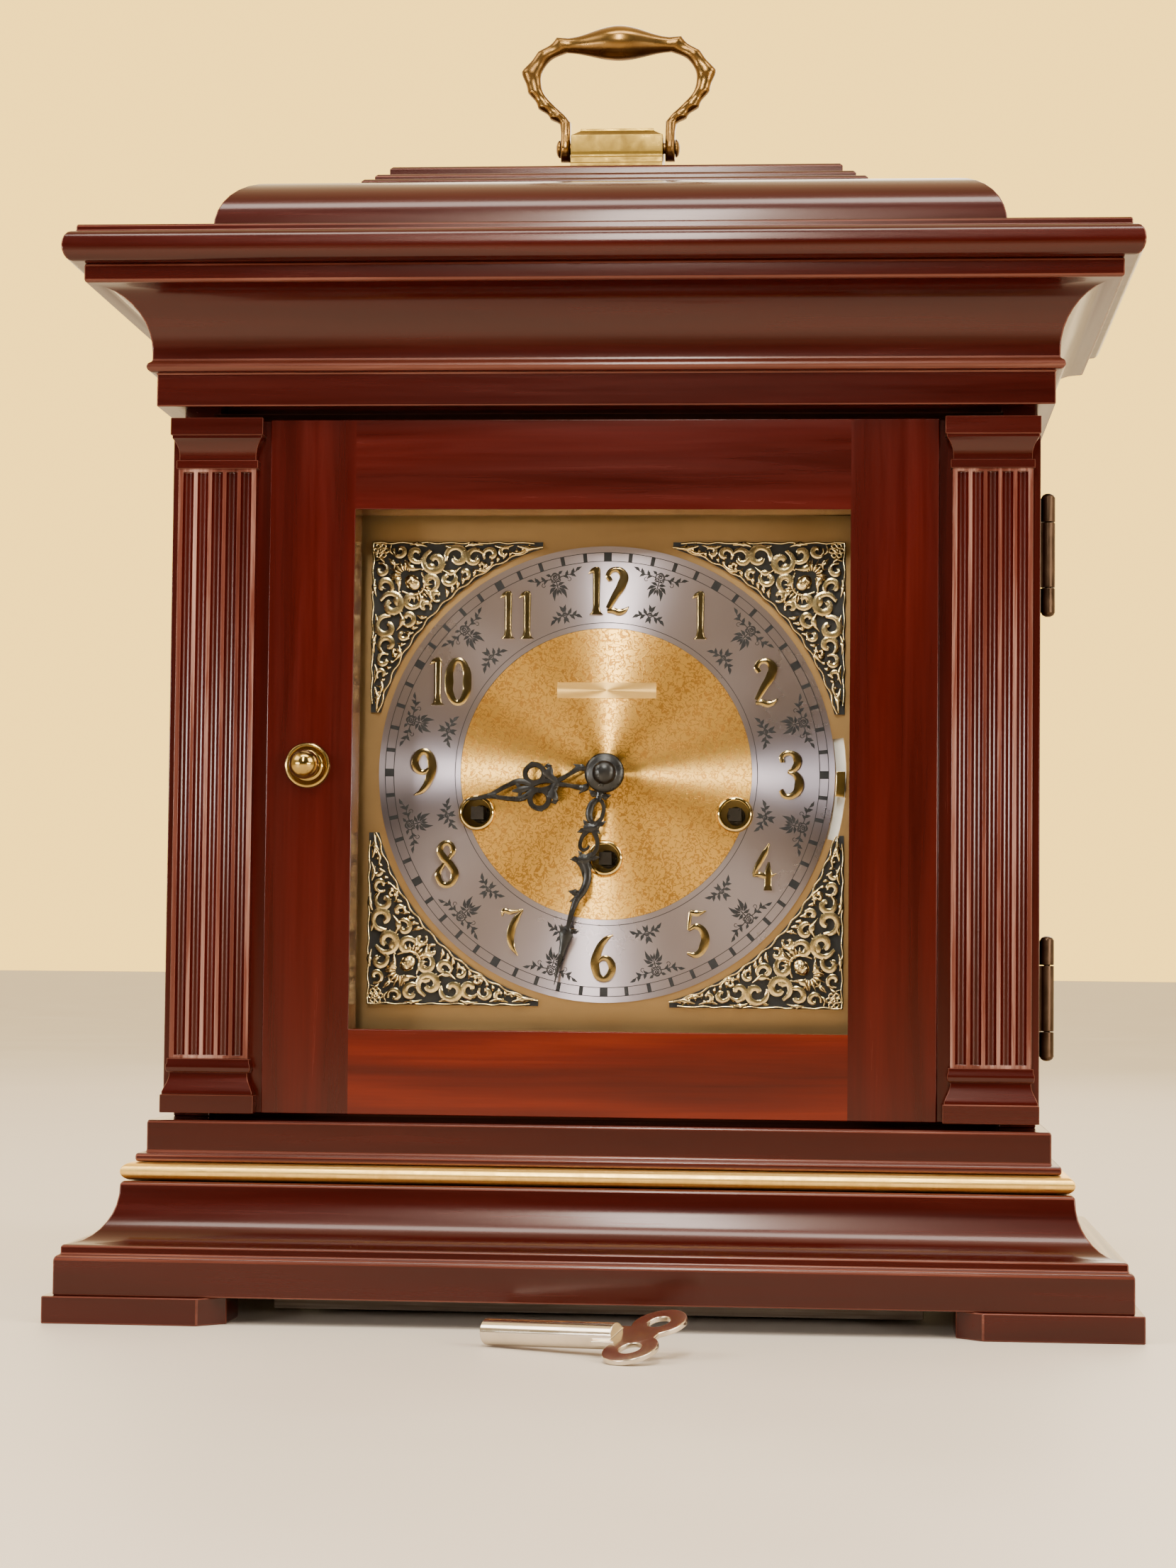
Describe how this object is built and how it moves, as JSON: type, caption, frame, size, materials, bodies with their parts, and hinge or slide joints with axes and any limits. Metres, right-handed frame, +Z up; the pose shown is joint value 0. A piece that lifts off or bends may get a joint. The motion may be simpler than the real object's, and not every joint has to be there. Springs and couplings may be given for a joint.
{
  "type": "mantel clock",
  "caption": "Bell-top wooden bracket clock with a glazed, pilastered front door, a carrying handle, a brass and silvered chiming dial with pierced hands and a key-wound movement.",
  "frame": {"origin": "middle of the footprint of the feet, on the surface that the clock stands on", "axes": "+X to the right of the dial, +Y from the dial towards the back, +Z up"},
  "size_m": [0.343, 0.2587, 0.4363],
  "materials": {
    "mahogany": "semi-gloss red-brown lacquer",
    "inner_wood": "plain oiled wood",
    "rough_board": "rough, dark, unfinished board",
    "gilt": "satin gilt",
    "antique_brass": "antique brass, polished on the high spots",
    "bracket_brass": "satin brass",
    "bronze": "dark bronzed hinge",
    "dial_brass": "satin brass sheet",
    "silvered": "circular-brushed silvering",
    "dial_gold": "gilt with a fine mottled pattern",
    "polished_brass": "polished brass",
    "cast_gilt": "antiqued gilt casting",
    "black_hands": "satin black",
    "glass": "clear",
    "movement_brass": "brushed movement brass",
    "steel": "bright steel",
    "cast_block": "black casting",
    "nickel": "bright nickel plate"
  },
  "bodies": {
    "case": {"bracket_feet": "mahogany", "base_moulding": "mahogany", "base_board": "rough_board", "gilt_bead": "gilt", "floor_board": "mahogany", "side_panel_left": "mahogany", "side_panel_right": "mahogany", "top_board": "inner_wood", "cornice": "mahogany", "top_slab": "mahogany", "bell_top": "mahogany", "cap_block": "mahogany", "handle_bracket": "bracket_brass", "hinge_case_leaves": "bronze", "dial_surround": "inner_wood", "dial_plate": "dial_brass", "chapter_ring": "silvered", "dial_centre": "dial_gold", "winding_ferrules": "polished_brass", "corner_spandrels": "cast_gilt", "hour_numerals": "polished_brass", "front_plate": "movement_brass", "back_plate": "movement_brass", "plate_pillars": "movement_brass", "spring_barrels": "movement_brass", "seat_board": "inner_wood", "balance_frame": "movement_brass", "chime_block": "cast_block", "chime_rods": "steel", "hammer_frame": "steel"},
    "front_door": {"door_frame": "mahogany", "door_glass": "glass", "glass_stops": "mahogany", "pilaster_shafts": "mahogany", "pilaster_blocks": "mahogany", "knob_rosette": "antique_brass", "door_knob": "antique_brass", "hinge_door_leaves": "bronze"},
    "rear_door": {"back_door": "inner_wood"},
    "handle": {"carry_handle": "antique_brass"},
    "minute_work": {"minute_hand": "black_hands", "hand_nut": "black_hands", "centre_arbor": "steel"},
    "hour_work": {"hour_hand": "black_hands", "hour_wheel": "movement_brass"},
    "intermediate_wheel": {"minute_wheel": "movement_brass"},
    "chime_arbor": {"winding_arbor_chime": "steel"},
    "strike_arbor": {"winding_arbor_strike": "steel"},
    "time_arbor": {"winding_arbor_time": "steel"},
    "selector": {"selector_lever": "movement_brass"},
    "balance": {"balance_wheel": "movement_brass"},
    "key": {"winding_key": "nickel"},
    "hammer_1_body": {"hammer_1": "movement_brass"},
    "hammer_2_body": {"hammer_2": "movement_brass"},
    "hammer_3_body": {"hammer_3": "movement_brass"},
    "hammer_4_body": {"hammer_4": "movement_brass"},
    "hammer_5_body": {"hammer_5": "movement_brass"},
    "hammer_6_body": {"hammer_6": "movement_brass"},
    "hammer_7_body": {"hammer_7": "movement_brass"},
    "hammer_8_body": {"hammer_8": "movement_brass"}
  },
  "joints": [
    {"name": "front_door_swing", "type": "hinge", "parent": "case", "child": "front_door", "pos_m": [0.1444, -0.03945, 0.177], "axis": [0, 0, 1], "range_deg": [0, 110]},
    {"name": "rear_door_swing", "type": "hinge", "parent": "case", "child": "rear_door", "pos_m": [-0.123, 0.0875, 0.177], "axis": [0, 0, 1], "range_deg": [0, 100]},
    {"name": "handle_fold", "type": "hinge", "parent": "case", "child": "handle", "pos_m": [0, 0, 0.3935], "axis": [1, 0, 0], "range_deg": [-85, 85]},
    {"name": "minute_turn", "type": "hinge", "parent": "case", "child": "minute_work", "pos_m": [0, -0.03, 0.177], "axis": [0, 1, 0], "continuous": true},
    {"name": "hour_turn", "type": "hinge", "parent": "case", "child": "hour_work", "pos_m": [0, -0.03, 0.177], "axis": [0, 1, 0], "continuous": true},
    {"name": "intermediate_turn", "type": "hinge", "parent": "case", "child": "intermediate_wheel", "pos_m": [0.012, -0.02, 0.177], "axis": [0, 1, 0], "continuous": true},
    {"name": "selector_move", "type": "hinge", "parent": "case", "child": "selector", "pos_m": [0, -0.015, 0.177], "axis": [0, 1, 0], "range_deg": [-7, 9]},
    {"name": "balance_swing", "type": "hinge", "parent": "case", "child": "balance", "pos_m": [0, 0.058, 0.212], "axis": [0, 0, 1], "range_deg": [-120, 120], "stiffness_Nm_per_rad": 0.0002},
    {"name": "key_slide", "type": "slide", "parent": "case", "child": "key", "axis": [0, -1, 0], "range_m": [0, 0.08]},
    {"name": "chime_winding", "type": "hinge", "parent": "case", "child": "chime_arbor", "pos_m": [-0.0428, 0, 0.1638], "axis": [0, 1, 0], "continuous": true},
    {"name": "strike_winding", "type": "hinge", "parent": "case", "child": "strike_arbor", "pos_m": [0.0428, 0, 0.1638], "axis": [0, 1, 0], "continuous": true},
    {"name": "time_winding", "type": "hinge", "parent": "case", "child": "time_arbor", "pos_m": [0, 0, 0.149], "axis": [0, 1, 0], "continuous": true},
    {"name": "hammer_1_lift", "type": "hinge", "parent": "case", "child": "hammer_1_body", "pos_m": [-0.052, 0.004, 0.108], "axis": [0, 1, 0], "range_deg": [0, 9]},
    {"name": "hammer_2_lift", "type": "hinge", "parent": "case", "child": "hammer_2_body", "pos_m": [-0.052, 0.0135, 0.108], "axis": [0, 1, 0], "range_deg": [0, 9]},
    {"name": "hammer_3_lift", "type": "hinge", "parent": "case", "child": "hammer_3_body", "pos_m": [-0.052, 0.023, 0.108], "axis": [0, 1, 0], "range_deg": [0, 9]},
    {"name": "hammer_4_lift", "type": "hinge", "parent": "case", "child": "hammer_4_body", "pos_m": [-0.052, 0.0325, 0.108], "axis": [0, 1, 0], "range_deg": [0, 9]},
    {"name": "hammer_5_lift", "type": "hinge", "parent": "case", "child": "hammer_5_body", "pos_m": [-0.052, 0.042, 0.108], "axis": [0, 1, 0], "range_deg": [0, 9]},
    {"name": "hammer_6_lift", "type": "hinge", "parent": "case", "child": "hammer_6_body", "pos_m": [-0.052, 0.0515, 0.108], "axis": [0, 1, 0], "range_deg": [0, 9]},
    {"name": "hammer_7_lift", "type": "hinge", "parent": "case", "child": "hammer_7_body", "pos_m": [-0.052, 0.061, 0.108], "axis": [0, 1, 0], "range_deg": [0, 9]},
    {"name": "hammer_8_lift", "type": "hinge", "parent": "case", "child": "hammer_8_body", "pos_m": [-0.052, 0.0705, 0.108], "axis": [0, 1, 0], "range_deg": [0, 9]}
  ],
  "couplings": [
    {"joint": "hour_turn", "follows": "minute_turn", "ratio": 0.083333},
    {"joint": "intermediate_turn", "follows": "minute_turn", "ratio": -0.33333}
  ]
}
